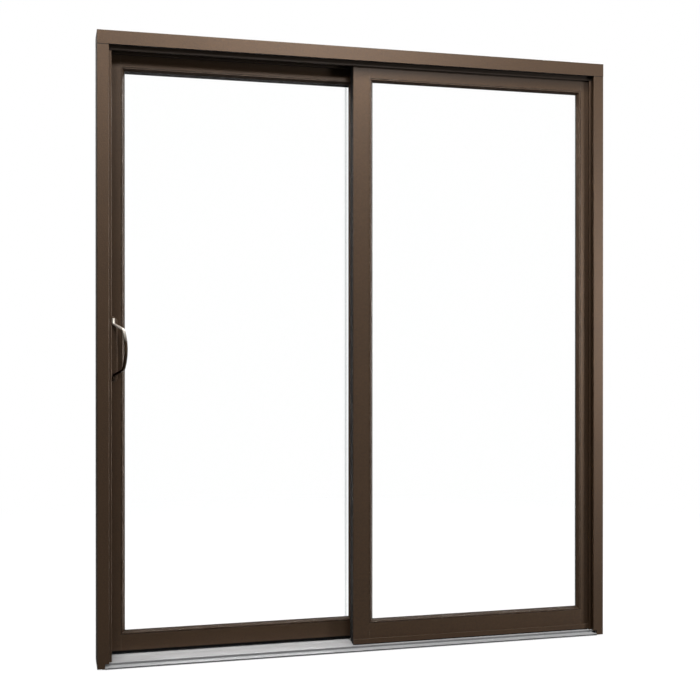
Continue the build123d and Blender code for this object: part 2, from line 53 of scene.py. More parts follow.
# Places read from the frame, in metres
PULL_LOW, PULL_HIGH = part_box("exterior_pull")
STILE_LOW, STILE_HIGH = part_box("sliding_left_stile")
RIGHT_STILE_LOW, RIGHT_STILE_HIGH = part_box("sliding_right_stile")
PLATE_LEFT = PULL_LOW.x
PULL_MIDDLE = (PULL_LOW.z + PULL_HIGH.z) / 2
SLIDING_FRONT = STILE_LOW.y
SLIDING_BACK = STILE_HIGH.y
SLIDING_MIDDLE = (SLIDING_FRONT + SLIDING_BACK) / 2
FIXED_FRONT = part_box("fixed_left_stile")[0].y
HEAD_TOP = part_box("head_cladding")[1].z
FRAME_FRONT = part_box("head_cladding")[0].y
FRAME_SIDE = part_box("head_cladding")[1].x
FIXED_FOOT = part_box("fixed_bottom_rail")[0].z
SLIDING_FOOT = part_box("sliding_bottom_rail")[0].z
RETAINER_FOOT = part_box("fixed_panel_retainer")[0].z
# Left of this X a panel's sides get painted shade; right of it they show beside the glass and get
# none
OPEN_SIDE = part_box("fixed_right_stile")[0].x - 0.001

# Sizes that several pieces share, in metres
SEAL_THICKNESS = 0.0011
END_INSET = 0.002
SAME_PLANE = 1e-5

# The camera's place in metres and its turns in degrees
CAMERA_PLACE = (-1.05182, -3.86441, 1.05670)
CAMERA_DIP = 0.145
CAMERA_TURN = -14.742

BLACK = (0.0, 0.0, 0.0, 1.0)
WHITE = (1.0, 1.0, 1.0, 1.0)

# Shades that only one finish uses
EDGE_WEAR_AND_GLINT = (0.24, 0.19, 0.15)
JOINT_LINE = (0.012, 0.010, 0.009)
SEAM_LINE = (0.004, 0.003, 0.0025)
WORN_WHITE = (0.55, 0.53, 0.49)
SILL_PAINTED_SHADE = (0.06, 0.06, 0.062)
SILL_FACE_SHADE = (0.02, 0.02, 0.022)
PULL_SHADED_DARK = (0.032, 0.021, 0.013)
PULL_SHADED_LIGHT = (0.046, 0.030, 0.019)
WORN_BRONZE = (0.45, 0.38, 0.32)
PILE_DARK = (0.018, 0.016, 0.015)
PILE_LIGHT = (0.075, 0.07, 0.066)
GLASS_TINT = (0.996, 0.999, 0.998)
GLASS_PAINTED_REFLECTION = (0.82, 0.83, 0.83)


# Settings that a user would change

def setting(name, description, default, kind="NONE", **limits):
    """A number that a user can set. Its kind is a length, an angle, a power or none."""
    return bpy.props.FloatProperty(
        name=name, description=description, default=default, subtype=kind, **limits)


def colour_setting(name, description, default):
    """A colour that a user can set."""
    return bpy.props.FloatVectorProperty(
        name=name, description=description, default=default, subtype="COLOR", min=0, max=1)


class DoorFinishes(bpy.types.PropertyGroup):
    """Colours and surface values of the door's finishes."""

    bronze: colour_setting("Bronze", "Paint on the outer side", (0.058, 0.0285, 0.0100))
    bronze_dark: colour_setting(
        "Bronze shade", "Darker tone in the mottle of the paint", (0.050, 0.0245, 0.0085))
    bronze_roughness: setting("Bronze roughness", "Sheen of the paint", 0.42, min=0, max=1)
    white: colour_setting("Room side", "Finish on the room side", (0.74, 0.73, 0.70))
    sill: colour_setting("Sill", "Mill finish of the sill", (0.68, 0.685, 0.69))
    steel: colour_setting("Stainless", "Track cap, lock plate and screws", (0.52, 0.515, 0.50))
    # Colour of the pulls' painted highlight above the middle of the grip
    hardware: colour_setting("Pulls", "Rubbed bronze of the pulls", (0.55, 0.50, 0.44))
    pebble: setting(
        "Pebble", "Size of the pebbled skin of the paint", 0.0035, "DISTANCE", min=0.0005, max=0.05)
    fascia_height: setting(
        "Fascia", "Height of the head's front face above the jambs", 0.046, "DISTANCE")
    # Up to this height the head's recess behind its front face gets painted shade
    recess_height: setting(
        "Recess", "Height of the head behind its front face, painted dark", 0.062, "DISTANCE")
    # How deep the painted shade on the panels under the head is
    top_shade: setting(
        "Top shade", "How much duller the panels are under the head", 0.68, min=0, max=1)
    fascia_thickness: setting(
        "Fascia thickness", "How deep the seam under the fascia runs", 0.0118, "DISTANCE")
    joint_depth: setting(
        "Colour joint", "Depth of a panel at which its two colours meet", 0.0365, "DISTANCE",
        min=0.01, max=0.038)


class PullShape(bpy.types.PropertyGroup):
    """Sizes of the bow pulls and their plates."""

    plate_width: setting("Plate width", "Width of the plate", 0.035, "DISTANCE")
    plate_length: setting("Plate length", "Length of the plate", 0.222, "DISTANCE")
    plate_thickness: setting(
        "Plate thickness", "How far the plate stands off the stile", 0.005, "DISTANCE")
    plate_bevel: setting("Plate bevel", "Rounding of the rim", 0.0016, "DISTANCE")
    root_offset: setting(
        "Root offset", "Root of the bow from the middle of the plate", 0.0055, "DISTANCE")
    root_rise: setting("Root rise", "Root of the bow in front of the plate", 0.002, "DISTANCE")
    turn: setting("Turn", "Angle at which the bow leans towards the glass", math.radians(45), "ANGLE")
    reach: setting("Reach", "How far the bow stands off its root", 0.0544, "DISTANCE")
    radius: setting("Bow radius", "Radius of the grip", 0.190, "DISTANCE")
    sweep: setting("Bow sweep", "Half the angle of the grip", math.radians(19), "ANGLE")
    shoulder_radius: setting("Shoulder radius", "Radius where the grip turns in", 0.012, "DISTANCE")
    shoulder_sweep: setting("Shoulder sweep", "Angle of the shoulder", math.radians(48), "ANGLE")
    neck: setting("Neck", "Straight run from shoulder to root", 0.0359, "DISTANCE")
    root_radius: setting("Root radius", "Radius of the curl at the plate", 0.009, "DISTANCE")
    root_length: setting("Root length", "Run of the curl along the plate", 0.0135, "DISTANCE")
    strap_width: setting("Strap width", "Width of the bow's section", 0.012, "DISTANCE")
    strap_thickness: setting("Strap thickness", "Thickness of the bow's section", 0.0073, "DISTANCE")
    strap_rounding: setting("Strap rounding", "Radius of the section's corners", 0.0033, "DISTANCE")


class SmallPieces(bpy.types.PropertyGroup):
    """Sizes of the seals and screws."""

    pile_height: setting("Pile height", "Height of the brush seals", 0.0043, "DISTANCE")
    pile_width: setting("Pile width", "Width of the brush seals", 0.0066, "DISTANCE")
    gasket: setting("Gasket", "Width of the seal that shows round the glass", 0.0012, "DISTANCE")
    screw_radius: setting("Screw head", "Radius of the screw heads", 0.0038, "DISTANCE")


class StudioSettings(bpy.types.PropertyGroup):
    """Lamps, floor and camera."""

    key_power: setting("Key", "High lamp in front", 146, "POWER")
    top_power: setting("Top", "Lamp overhead", 80, "POWER")
    left_power: setting("Left", "Lamp on the left", 68, "POWER")
    side_power: setting("Side", "Low lamp on the right", 185, "POWER")
    crest_power: setting("Crest", "High lamp on the left", 115, "POWER")
    low_power: setting("Low", "Low lamp in front", 0.5, "POWER")
    room_power: setting("Room", "Lamps on the room side", 150, "POWER")
    ambient: setting("Ambient", "Soft light from behind the door", 0.22, min=0)
    reflected: setting(
        "Reflected background", "Level of the background in paint and metal", 0.22, min=0)
    front_ambient: setting("Front ambient", "Soft light from in front of the door", 0.02, min=0)
    floor: colour_setting("Floor", "Colour of the floor", (0.16, 0.16, 0.16))
    focal_length: setting("Lens", "Focal length of the camera in millimetres", 58.55)


# Mesh tools

def leave_edit():
    """Goes back to object mode."""
    bpy.ops.object.mode_set(mode="OBJECT")


def clear_choice():
    """Leaves edit mode and deselects every object."""
    if bpy.context.mode != "OBJECT":
        leave_edit()
    bpy.ops.object.select_all(action="DESELECT")


def take(obj):
    """Makes obj the one selected and active object."""
    clear_choice()
    obj.select_set(True)
    bpy.context.view_layer.objects.active = obj
    return obj


def rename(obj, name):
    """Gives an object and its mesh the same name."""
    obj.name = name
    obj.data.name = name
    return obj


def settle(obj, name):
    """Puts the place of obj in its mesh, so that the object itself sits at the origin."""
    take(obj)
    bpy.ops.object.transform_apply(location=True, rotation=True, scale=True)
    return rename(obj, name)


def block(name, low, high):
    """A block between two corners, to be shaped further."""
    low, high = Vector(low), Vector(high)
    clear_choice()
    bpy.ops.mesh.primitive_cube_add(size=1, location=(low + high) / 2, scale=high - low)
    return settle(bpy.context.object, name)


def sheet(name, width, length, middle=(0, 0, 0), tilt=0.0):
    """A flat rectangle, tilted about X by an angle, to be shaped further."""
    clear_choice()
    bpy.ops.mesh.primitive_plane_add(size=1, location=middle, rotation=(tilt, 0, 0))
    made = bpy.context.object
    made.scale = (width, length, 1)
    return settle(made, name)


def disc_bar(name, foot, radius, length, normal, sides):
    """A round bar from a foot point along a normal, to be shaped further."""
    normal = Vector(normal).normalized()
    clear_choice()
    bpy.ops.mesh.primitive_cylinder_add(
        vertices=sides, radius=radius, depth=length, location=Vector(foot) + normal * length / 2,
        rotation=normal.to_track_quat("Z", "Y").to_euler())
    return settle(bpy.context.object, name)


def pick(obj, kind, wanted):
    """Goes to edit mode with only those faces, edges or vertices selected that a test accepts."""
    take(obj)
    mesh = obj.data
    for group in (mesh.vertices, mesh.edges, mesh.polygons):
        group.foreach_set("select", [False] * len(group))
    for item in {"FACE": mesh.polygons, "EDGE": mesh.edges, "VERT": mesh.vertices}[kind]:
        item.select = wanted(item)
    bpy.context.tool_settings.mesh_select_mode = (kind == "VERT", kind == "EDGE", kind == "FACE")
    bpy.ops.object.mode_set(mode="EDIT")


def ends(obj, edge):
    """The two end points of an edge."""
    return [obj.data.vertices[i].co for i in edge.vertices]


def along(obj, axis):
    """A test for edges that run along an axis, 0, 1 or 2."""
    def test(edge):
        a, b = ends(obj, edge)
        run = b - a
        return abs(run[axis]) > 0.999 * run.length
    return test


def in_plane(obj, axis, level):
    """A test for edges that lie in a plane across an axis, 0, 1 or 2."""
    return lambda edge: all(abs(p[axis] - level) < SAME_PLANE for p in ends(obj, edge))


def sharp(obj, least=40):
    """A test for edges whose two faces meet at more than some degrees."""
    def test(edge):
        key = tuple(sorted(edge.vertices))
        normals = [face.normal for face in obj.data.polygons if key in {
            tuple(sorted(pair)) for pair in face.edge_keys}]
        return len(normals) == 2 and normals[0].angle(normals[1]) > math.radians(least)
    return test


def round_edges(obj, test, width, segments=3):
    """Bevels the edges that a test accepts."""
    pick(obj, "EDGE", test)
    bpy.ops.mesh.bevel(offset=width, segments=segments, profile=0.5, affect="EDGES")
    leave_edit()


def extrude(move):
    """Extrudes what is selected by a vector."""
    bpy.ops.mesh.extrude_region_move(TRANSFORM_OT_translate={"value": move})


def finish_mesh(obj, angle=35.0):
    """Turns the normals outwards and smooths edges up to an angle in degrees."""
    pick(obj, "FACE", lambda face: True)
    bpy.ops.mesh.normals_make_consistent(inside=False)
    leave_edit()
    bpy.ops.object.shade_smooth_by_angle(angle=math.radians(angle))
    return obj


def copy_moved(obj, name, matrix):
    """A copy of obj with its own mesh, moved by a matrix."""
    take(obj)
    bpy.ops.object.duplicate(linked=False)
    twin = bpy.context.object
    twin.data.transform(matrix)
    return rename(twin, name)


def join(name, first, *others):
    """Joins pieces into the first one."""
    take(first)
    for obj in others:
        obj.select_set(True)
    bpy.ops.object.join()
    return rename(first, name)


def dress(obj, finish, body):
    """Gives a new piece its finish and the body that it rides on."""
    obj.data.materials.clear()
    obj.data.materials.append(bpy.data.materials[finish])
    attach(obj, body)


# Shader tools

def put(tree, kind, inputs=None, **settings):
    """Adds a node. inputs are values, or sockets to link, by the name or number of the input."""
    made = tree.nodes.new(kind)
    for key, value in settings.items():
        setattr(made, key, value)
    for key, value in (inputs or {}).items():
        if isinstance(value, bpy.types.NodeSocket):
            tree.links.new(value, made.inputs[key])
        else:
            made.inputs[key].default_value = value
    return made


def calc(tree, operation, a, b=0.0, c=0.0):
    """The result of a Math node."""
    return put(tree, "ShaderNodeMath", {0: a, 1: b, 2: c}, operation=operation).outputs[0]


def empty_tree(owner):
    """The cleared node tree of a material or of the world."""
    owner.use_nodes = True
    owner.node_tree.nodes.clear()
    return owner.node_tree


def noise(tree, vector, scale, detail, roughness=0.5):
    """The value of a noise texture."""
    return put(tree, "ShaderNodeTexNoise", {
        "Vector": vector, "Scale": scale, "Detail": detail, "Roughness": roughness}).outputs[0]


def within(tree, distance, half):
    """One where a distance either way stays under half a width, and else nought."""
    return calc(tree, "LESS_THAN", calc(tree, "ABSOLUTE", distance), half)


def blend_colour(tree, factor, first, second):
    """The result of mixing two colours."""
    node = put(tree, "ShaderNodeMix", {0: factor, 6: first, 7: second}, data_type="RGBA")
    return node.outputs[2]


def ramp(tree, value, low, high, to_low=0.0, to_high=1.0):
    """A value spread from one range to another, held at its ends."""
    node = put(tree, "ShaderNodeMapRange", {
        "Value": value, "From Min": low, "From Max": high, "To Min": to_low, "To Max": to_high,
    }, clamp=True)
    return node.outputs[0]


def parts(tree, vector):
    """The X, Y and Z of a vector, by name."""
    return put(tree, "ShaderNodeSeparateXYZ", {0: vector}).outputs


def normal_parts(tree):
    """The X, Y and Z of the direction that a surface faces."""
    return parts(tree, put(tree, "ShaderNodeNewGeometry").outputs["Normal"])


def seen_clearly(tree, path):
    """One for rays from the camera, through the panes or mirrored in them, and else nought."""
    return calc(tree, "MAXIMUM", path["Is Camera Ray"], calc(
        tree, "MAXIMUM", path["Is Transmission Ray"], path["Is Singular Ray"]))


def rgba(colour, scale=1.0):
    """Four channels of a colour setting."""
    return (colour[0] * scale, colour[1] * scale, colour[2] * scale, 1.0)


def new_group(name, inputs, outputs):
    """An empty shader group with its sockets. Returns the tree, what it is given and its result."""
    tree = bpy.data.node_groups.new(name, "ShaderNodeTree")
    for socket, kind, value in inputs:
        made = tree.interface.new_socket(socket, in_out="INPUT", socket_type=kind)
        if value is not None:
            made.default_value = value
    for socket in outputs:
        tree.interface.new_socket(socket, in_out="OUTPUT", socket_type="NodeSocketFloat")
    given = tree.nodes.new("NodeGroupInput").outputs
    return tree, given, tree.nodes.new("NodeGroupOutput").inputs


def use(tree, group, inputs):
    """Places a shader group in a material and returns its outputs."""
    return put(tree, "ShaderNodeGroup", inputs, node_tree=bpy.data.node_groups[group]).outputs


def build_groups():
    """The effects that more than one finish uses."""
    number, vector = "NodeSocketFloat", "NodeSocketVector"

    tree, given, result = new_group(
        "pebbled_skin",
        [("Vector", vector, None), ("Size", number, 0.003), ("Mottle Size", number, 0.2)],
        ["Height", "Mottle", "Speck"])
    fine = put(tree, "ShaderNodeTexVoronoi", {
        "Vector": given["Vector"], "Scale": calc(tree, "DIVIDE", 1.0, given["Size"]),
        "Smoothness": 0.6, "Randomness": 1.0}, feature="SMOOTH_F1")
    grain = noise(tree, given["Vector"], calc(tree, "DIVIDE", 0.6, given["Size"]), 3.0, 0.6)
    patch = noise(
        tree, given["Vector"], calc(tree, "DIVIDE", 1.0, given["Mottle Size"]), 4.0, 0.55)
    pebble = calc(tree, "MULTIPLY_ADD", fine.outputs["Distance"], -0.9, 1.0)
    tree.links.new(calc(tree, "MULTIPLY_ADD", grain, 0.6, pebble), result["Height"])
    tree.links.new(ramp(tree, patch, 0.32, 0.68), result["Mottle"])
    tree.links.new(ramp(tree, grain, 0.35, 0.72), result["Speck"])

    tree, given, result = new_group(
        "worn_edges",
        [("Vector", vector, None), ("Radius", number, 0.001), ("Break Up", number, 60.0)],
        ["Mask"])
    rounded = put(tree, "ShaderNodeBevel", {"Radius": given["Radius"]}, samples=4)
    flat = put(tree, "ShaderNodeNewGeometry")
    turned = put(tree, "ShaderNodeVectorMath", {
        0: rounded.outputs[0], 1: flat.outputs["Normal"]}, operation="DOT_PRODUCT")
    chips = noise(tree, given["Vector"], given["Break Up"], 5.0)
    edge = ramp(tree, turned.outputs["Value"], 0.99, 0.80)
    tree.links.new(calc(tree, "MULTIPLY", edge, ramp(tree, chips, 0.38, 0.62)), result["Mask"])

    tree, given, result = new_group(
        "drawn_lines",
        [("Vector", vector, None), ("Along", number, 3.0), ("Across", number, 900.0)],
        ["Line", "Band"])
    stretch = put(tree, "ShaderNodeCombineXYZ", {
        "X": given["Along"], "Y": given["Across"], "Z": given["Across"]})
    pulled = put(tree, "ShaderNodeVectorMath", {
        0: given["Vector"], 1: stretch.outputs[0]}, operation="MULTIPLY").outputs[0]
    line = noise(tree, pulled, 1.0, 4.0, 0.65)
    wide = put(tree, "ShaderNodeVectorMath", {0: pulled, "Scale": 0.14}, operation="SCALE")
    band = noise(tree, wide.outputs[0], 1.0, 2.0)
    tree.links.new(ramp(tree, line, 0.3, 0.7), result["Line"])
    tree.links.new(ramp(tree, band, 0.3, 0.7), result["Band"])


def start_material(name):
    """A new material with a Principled node. Returns its tree, that node and the coordinates."""
    tree = empty_tree(bpy.data.materials.new(name))
    shader = put(tree, "ShaderNodeBsdfPrincipled")
    put(tree, "ShaderNodeOutputMaterial", {"Surface": shader.outputs[0]})
    return tree, shader, put(tree, "ShaderNodeTexCoord").outputs["Object"]


def give_bump(tree, shader, height, distance):
    """Feeds a height to the shader's normal."""
    bump = put(tree, "ShaderNodeBump", {"Height": height, "Distance": distance})
    tree.links.new(bump.outputs[0], shader.inputs["Normal"])


def feed(tree, shader, colour, roughness):
    """Links a colour and a roughness to the shader."""
    tree.links.new(colour, shader.inputs["Base Color"])
    tree.links.new(roughness, shader.inputs["Roughness"])


def bronze_paint(name, finishes, panel_front=None, foot=0.0, shade=0.0):
    """Pebbled bronze paint. With a panel's front it turns white behind the colour joint. A panel gets
    painted shade along its foot, and shade is how much painted shade its upper half gets."""
    tree, shader, place = start_material(name)
    skin = use(tree, "pebbled_skin", {
        "Vector": place, "Size": finishes.pebble, "Mottle Size": 0.16})
    worn = use(tree, "worn_edges", {"Vector": place, "Radius": 0.0012, "Break Up": 45.0})
    paint = blend_colour(tree, skin["Mottle"], rgba(finishes.bronze_dark), rgba(finishes.bronze))
    paint = blend_colour(
        tree, calc(tree, "MULTIPLY", skin["Speck"], 0.5), paint, rgba(finishes.bronze, 1.5))
    # Lighter edges: wear, together with a painted highlight along the rounded edges
    colour = blend_colour(tree, worn["Mask"], paint, rgba(EDGE_WEAR_AND_GLINT))
    rough = ramp(
        tree, skin["Speck"], 0.0, 1.0,
        finishes.bronze_roughness + 0.05, finishes.bronze_roughness - 0.06)
    height = skin["Height"]
    spot = parts(tree, place)
    if panel_front is None:
        colour, rough, painted_shade = painted_frame_shade(tree, finishes, spot, colour, rough)
    else:
        painted_shade = painted_panel_shade(tree, finishes, spot, foot, shade)
        # Painted shade on the panel: its colour is blended towards black
        colour = blend_colour(tree, painted_shade, colour, BLACK)
        depth = calc(tree, "SUBTRACT", spot["Y"], panel_front + finishes.joint_depth)
        inside = calc(tree, "GREATER_THAN", depth, 0.0)
        joint = within(tree, depth, 0.0004)
        colour = blend_colour(tree, inside, colour, rgba(finishes.white))
        colour = blend_colour(tree, joint, colour, rgba(JOINT_LINE))
        rough = calc(tree, "MULTIPLY_ADD", inside, -0.06, rough)
        height = calc(
            tree, "MULTIPLY_ADD", inside, -0.7, calc(tree, "MULTIPLY_ADD", joint, -3.0, height))
    # Painted shade also raises the roughness and takes away the metal and the coat, so shaded places
    # lose their sheen
    feed(tree, shader, colour, calc(tree, "MAXIMUM", rough, painted_shade))
    sheen = calc(tree, "MULTIPLY_ADD", painted_shade, -0.75, 0.75)
    tree.links.new(sheen, shader.inputs["Metallic"])
    tree.links.new(sheen, shader.inputs["Coat Weight"])
    shader.inputs["Specular IOR Level"].default_value = 0.2
    shader.inputs["Coat Roughness"].default_value = 0.42
    give_bump(tree, shader, height, 0.00035)


def painted_frame_shade(tree, finishes, spot, colour, rough):
    """Painted shade in the recess under the head and on the outer sides, and the dark seam under the
    fascia.
    """
    near_front = calc(tree, "LESS_THAN", spot["Y"], FRAME_FRONT + finishes.fascia_thickness)
    level = calc(tree, "SUBTRACT", spot["Z"], HEAD_TOP - finishes.fascia_height)
    seam = calc(tree, "MULTIPLY", near_front, within(tree, level, 0.0009))
    # The recess under the head, behind the fascia, gets painted shade
    recess = calc(tree, "MULTIPLY", calc(tree, "SUBTRACT", 1.0, near_front), calc(
        tree, "GREATER_THAN", spot["Z"], HEAD_TOP - finishes.recess_height))
    # The outer sides of the frame get painted shade
    outside = calc(tree, "GREATER_THAN", calc(tree, "ABSOLUTE", spot["X"]), FRAME_SIDE - 0.0005)
    painted_shade = calc(tree, "MAXIMUM", calc(tree, "MULTIPLY", recess, 0.8), calc(
        tree, "MULTIPLY", outside, 0.7))
    colour = blend_colour(tree, painted_shade, colour, BLACK)
    colour = blend_colour(tree, seam, colour, rgba(SEAM_LINE))
    rough = calc(tree, "MAXIMUM", rough, calc(tree, "MULTIPLY", seam, 0.9))
    return colour, rough, painted_shade


def painted_panel_shade(tree, finishes, spot, foot, shade):
    """How much painted shade a panel gets: on its sides, on faces that look up or down, along its
    foot and under the head.
    """
    facing = normal_parts(tree)
    shaded_side = calc(tree, "MULTIPLY", calc(tree, "ABSOLUTE", facing["X"]), calc(
        tree, "LESS_THAN", spot["X"], OPEN_SIDE))
    head = HEAD_TOP - finishes.recess_height
    painted_shade = ramp(tree, spot["Z"], head - 0.048, head, 0.0, finishes.top_shade)
    # Each row: a value, where its painted shade starts, where it is full and how deep it is. The rows
    # are upward faces, downward faces, sides left of OPEN_SIDE, the strip above the foot and the
    # upper half
    for value, start, full, amount in (
        (facing["Z"], 0.3, 0.7, 0.55),
        (facing["Z"], -0.3, -0.7, 0.7),
        (shaded_side, 0.3, 0.6, 0.2),
        (shaded_side, 0.9, 0.97, 0.97),
        (spot["Z"], foot + 0.0045, foot + 0.0025, 0.95),
        (spot["Z"], 1.1, 1.6, shade),
    ):
        painted_shade = calc(tree, "MAXIMUM", painted_shade, ramp(tree, value, start, full, 0.0, amount))
    return painted_shade


def white_lining(name, finishes):
    """Satin white of the room side."""
    tree, shader, place = start_material(name)
    skin = use(tree, "pebbled_skin", {"Vector": place, "Size": 0.006, "Mottle Size": 0.5})
    worn = use(tree, "worn_edges", {"Vector": place, "Radius": 0.001, "Break Up": 30.0})
    tone = blend_colour(tree, skin["Mottle"], rgba(finishes.white, 0.965), rgba(finishes.white))
    colour = blend_colour(
        tree, calc(tree, "MULTIPLY", worn["Mask"], 0.35), tone, rgba(WORN_WHITE))
    feed(tree, shader, colour, ramp(tree, skin["Speck"], 0.0, 1.0, 0.42, 0.33))
    give_bump(tree, shader, skin["Height"], 0.00008)


def drawn_metal(name, colour, along, across, rough, contrast, bump, dark=0.82, bare=1.0,
                front_shade=0.0):
    """Metal with lines drawn along its length, bare or under a matt oxide skin. With front_shade it
    gets painted shade towards its front edge and on its front faces, most low down."""
    tree, shader, place = start_material(name)
    lines = use(tree, "drawn_lines", {"Vector": place, "Along": along, "Across": across})
    worn = use(tree, "worn_edges", {"Vector": place, "Radius": 0.0008, "Break Up": 80.0})
    tone = blend_colour(
        tree, calc(tree, "MULTIPLY", lines["Line"], contrast), rgba(colour), rgba(colour, dark))
    tone = blend_colour(
        tree, calc(tree, "MULTIPLY", lines["Band"], contrast * 0.6), tone,
        rgba(colour, dark * 0.9))
    tone = blend_colour(tree, calc(tree, "MULTIPLY", worn["Mask"], 0.5), tone, rgba(colour, 1.18))
    if front_shade:
        spot = parts(tree, place)
        # Painted shade, deepest at the front edge of the sill
        painted_front_shade = ramp(tree, spot["Y"], -0.060, -0.005, 0.40, 0.0)
        tone = blend_colour(tree, painted_front_shade, tone, rgba(SILL_PAINTED_SHADE))
        # Painted shade on faces that look to the front, deeper low down
        painted_face_shade = calc(
            tree, "MULTIPLY", ramp(tree, normal_parts(tree)["Y"], -0.6, -0.9),
            ramp(tree, spot["Z"], 0.008, 0.013, front_shade + 0.2, front_shade))
        tone = blend_colour(tree, painted_face_shade, tone, rgba(SILL_FACE_SHADE))
    feed(tree, shader, tone, ramp(tree, lines["Band"], 0.0, 1.0, rough - 0.05, rough + 0.06))
    shader.inputs["Metallic"].default_value = bare
    give_bump(tree, shader, lines["Line"], bump)


def bronze_with_painted_highlight(name, finishes):
    """Cast bronze of the pulls in lit and shaded copies: a dark painted shade tone below and a
    painted highlight above the middle of the grip.
    """
    tree, shader, place = start_material(name)
    skin = use(tree, "pebbled_skin", {"Vector": place, "Size": 0.0016, "Mottle Size": 0.03})
    worn = use(tree, "worn_edges", {"Vector": place, "Radius": 0.0016, "Break Up": 120.0})
    # Painted highlight: lighter, less metallic bronze above the middle of the grip, painted shade
    # below
    painted_highlight = ramp(tree, parts(tree, place)["Z"], PULL_MIDDLE + 0.025, PULL_MIDDLE + 0.070)
    shaded_tone = blend_colour(
        tree, skin["Mottle"], rgba(PULL_SHADED_DARK), rgba(PULL_SHADED_LIGHT))
    tone = blend_colour(tree, painted_highlight, shaded_tone, rgba(finishes.hardware, 1.2))
    colour = blend_colour(
        tree, calc(tree, "MULTIPLY", worn["Mask"], 0.25), tone, rgba(WORN_BRONZE))
    feed(tree, shader, colour, ramp(tree, skin["Speck"], 0.0, 1.0, 0.33, 0.28))
    metal = ramp(tree, painted_highlight, 0.0, 1.0, 1.0, 0.45)
    tree.links.new(metal, shader.inputs["Metallic"])
    give_bump(tree, shader, skin["Height"], 0.00005)


def moulded(name, colour, rough, pebble, bump, shine=0.5):
    """Moulded rubber or nylon."""
    tree, shader, place = start_material(name)
    skin = use(tree, "pebbled_skin", {"Vector": place, "Size": pebble, "Mottle Size": 0.02})
    tone = blend_colour(tree, skin["Mottle"], rgba(colour, 0.8), rgba(colour))
    feed(tree, shader, tone, ramp(tree, skin["Speck"], 0.0, 1.0, rough + 0.08, rough - 0.08))
    shader.inputs["Specular IOR Level"].default_value = shine
    give_bump(tree, shader, skin["Height"], bump)


def brush_pile(name):
    """Dense dark fibres of the brush seals."""
    tree, shader, place = start_material(name)
    spread = put(tree, "ShaderNodeVectorMath", {
        0: place, 1: (2600.0, 500.0, 2600.0)}, operation="MULTIPLY")
    tuft = ramp(tree, noise(tree, spread.outputs[0], 1.0, 3.0), 0.35, 0.65)
    colour = blend_colour(tree, tuft, rgba(PILE_DARK), rgba(PILE_LIGHT))
    feed(tree, shader, colour, ramp(tree, tuft, 0.0, 1.0, 0.95, 0.75))
    give_bump(tree, shader, tuft, 0.0006)


def clear_glass(name):
    """Clear glass with a weak sheen. Down the sliding pane beside its right stile it shows a faint
    line of painted reflection.
    """
    tree, shader, place = start_material(name)
    tint = blend_colour(tree, noise(tree, place, 3.0, 3.0), rgba(GLASS_TINT), WHITE)
    spot = parts(tree, place)
    # A painted reflection: a pale line down the sliding pane beside its right stile
    across = calc(tree, "SUBTRACT", spot["X"], RIGHT_STILE_LOW.x - 0.0090)
    in_sliding_panel = calc(tree, "GREATER_THAN", spot["Y"], SLIDING_FRONT)
    line = calc(tree, "MULTIPLY", in_sliding_panel, within(tree, across, 0.0032))
    tint = blend_colour(tree, line, tint, rgba(GLASS_PAINTED_REFLECTION))
    tree.links.new(tint, shader.inputs["Base Color"])
    shader.inputs["Roughness"].default_value = 0.0
    shader.inputs["IOR"].default_value = 1.2
    shader.inputs["Transmission Weight"].default_value = 1.0
    path = put(tree, "ShaderNodeLightPath").outputs
    spread = calc(tree, "SUBTRACT", path["Is Glossy Ray"], path["Is Singular Ray"])
    outward = calc(tree, "MULTIPLY", spread, calc(
        tree, "GREATER_THAN", normal_parts(tree)["Y"], 0.0))
    let_through = calc(tree, "MAXIMUM", outward, calc(
        tree, "MAXIMUM", path["Is Shadow Ray"], path["Is Diffuse Ray"]))
    clear = put(tree, "ShaderNodeBsdfTransparent")
    mixed = put(tree, "ShaderNodeMixShader", {
        0: let_through, 1: shader.outputs[0], 2: clear.outputs[0]})
    output = [node for node in tree.nodes if node.type == "OUTPUT_MATERIAL"][0]
    tree.links.new(mixed.outputs[0], output.inputs["Surface"])


CAD_FINISHES = {
    "bronze_cladding": "bronze_cladding_paint",
    "bronze_aluminium": "bronze_cladding_paint",
    "interior_white": "room_side_white",
    "sill_aluminium": "drawn_sill",
    "stainless": "brushed_stainless",
    "glass": "clear_pane",
    "spacer": "dull_spacer",
    "dark_hardware": "bronze_hardware_painted_highlight",
    "rubber": "soft_rubber",
    "roller_nylon": "moulded_nylon",
}


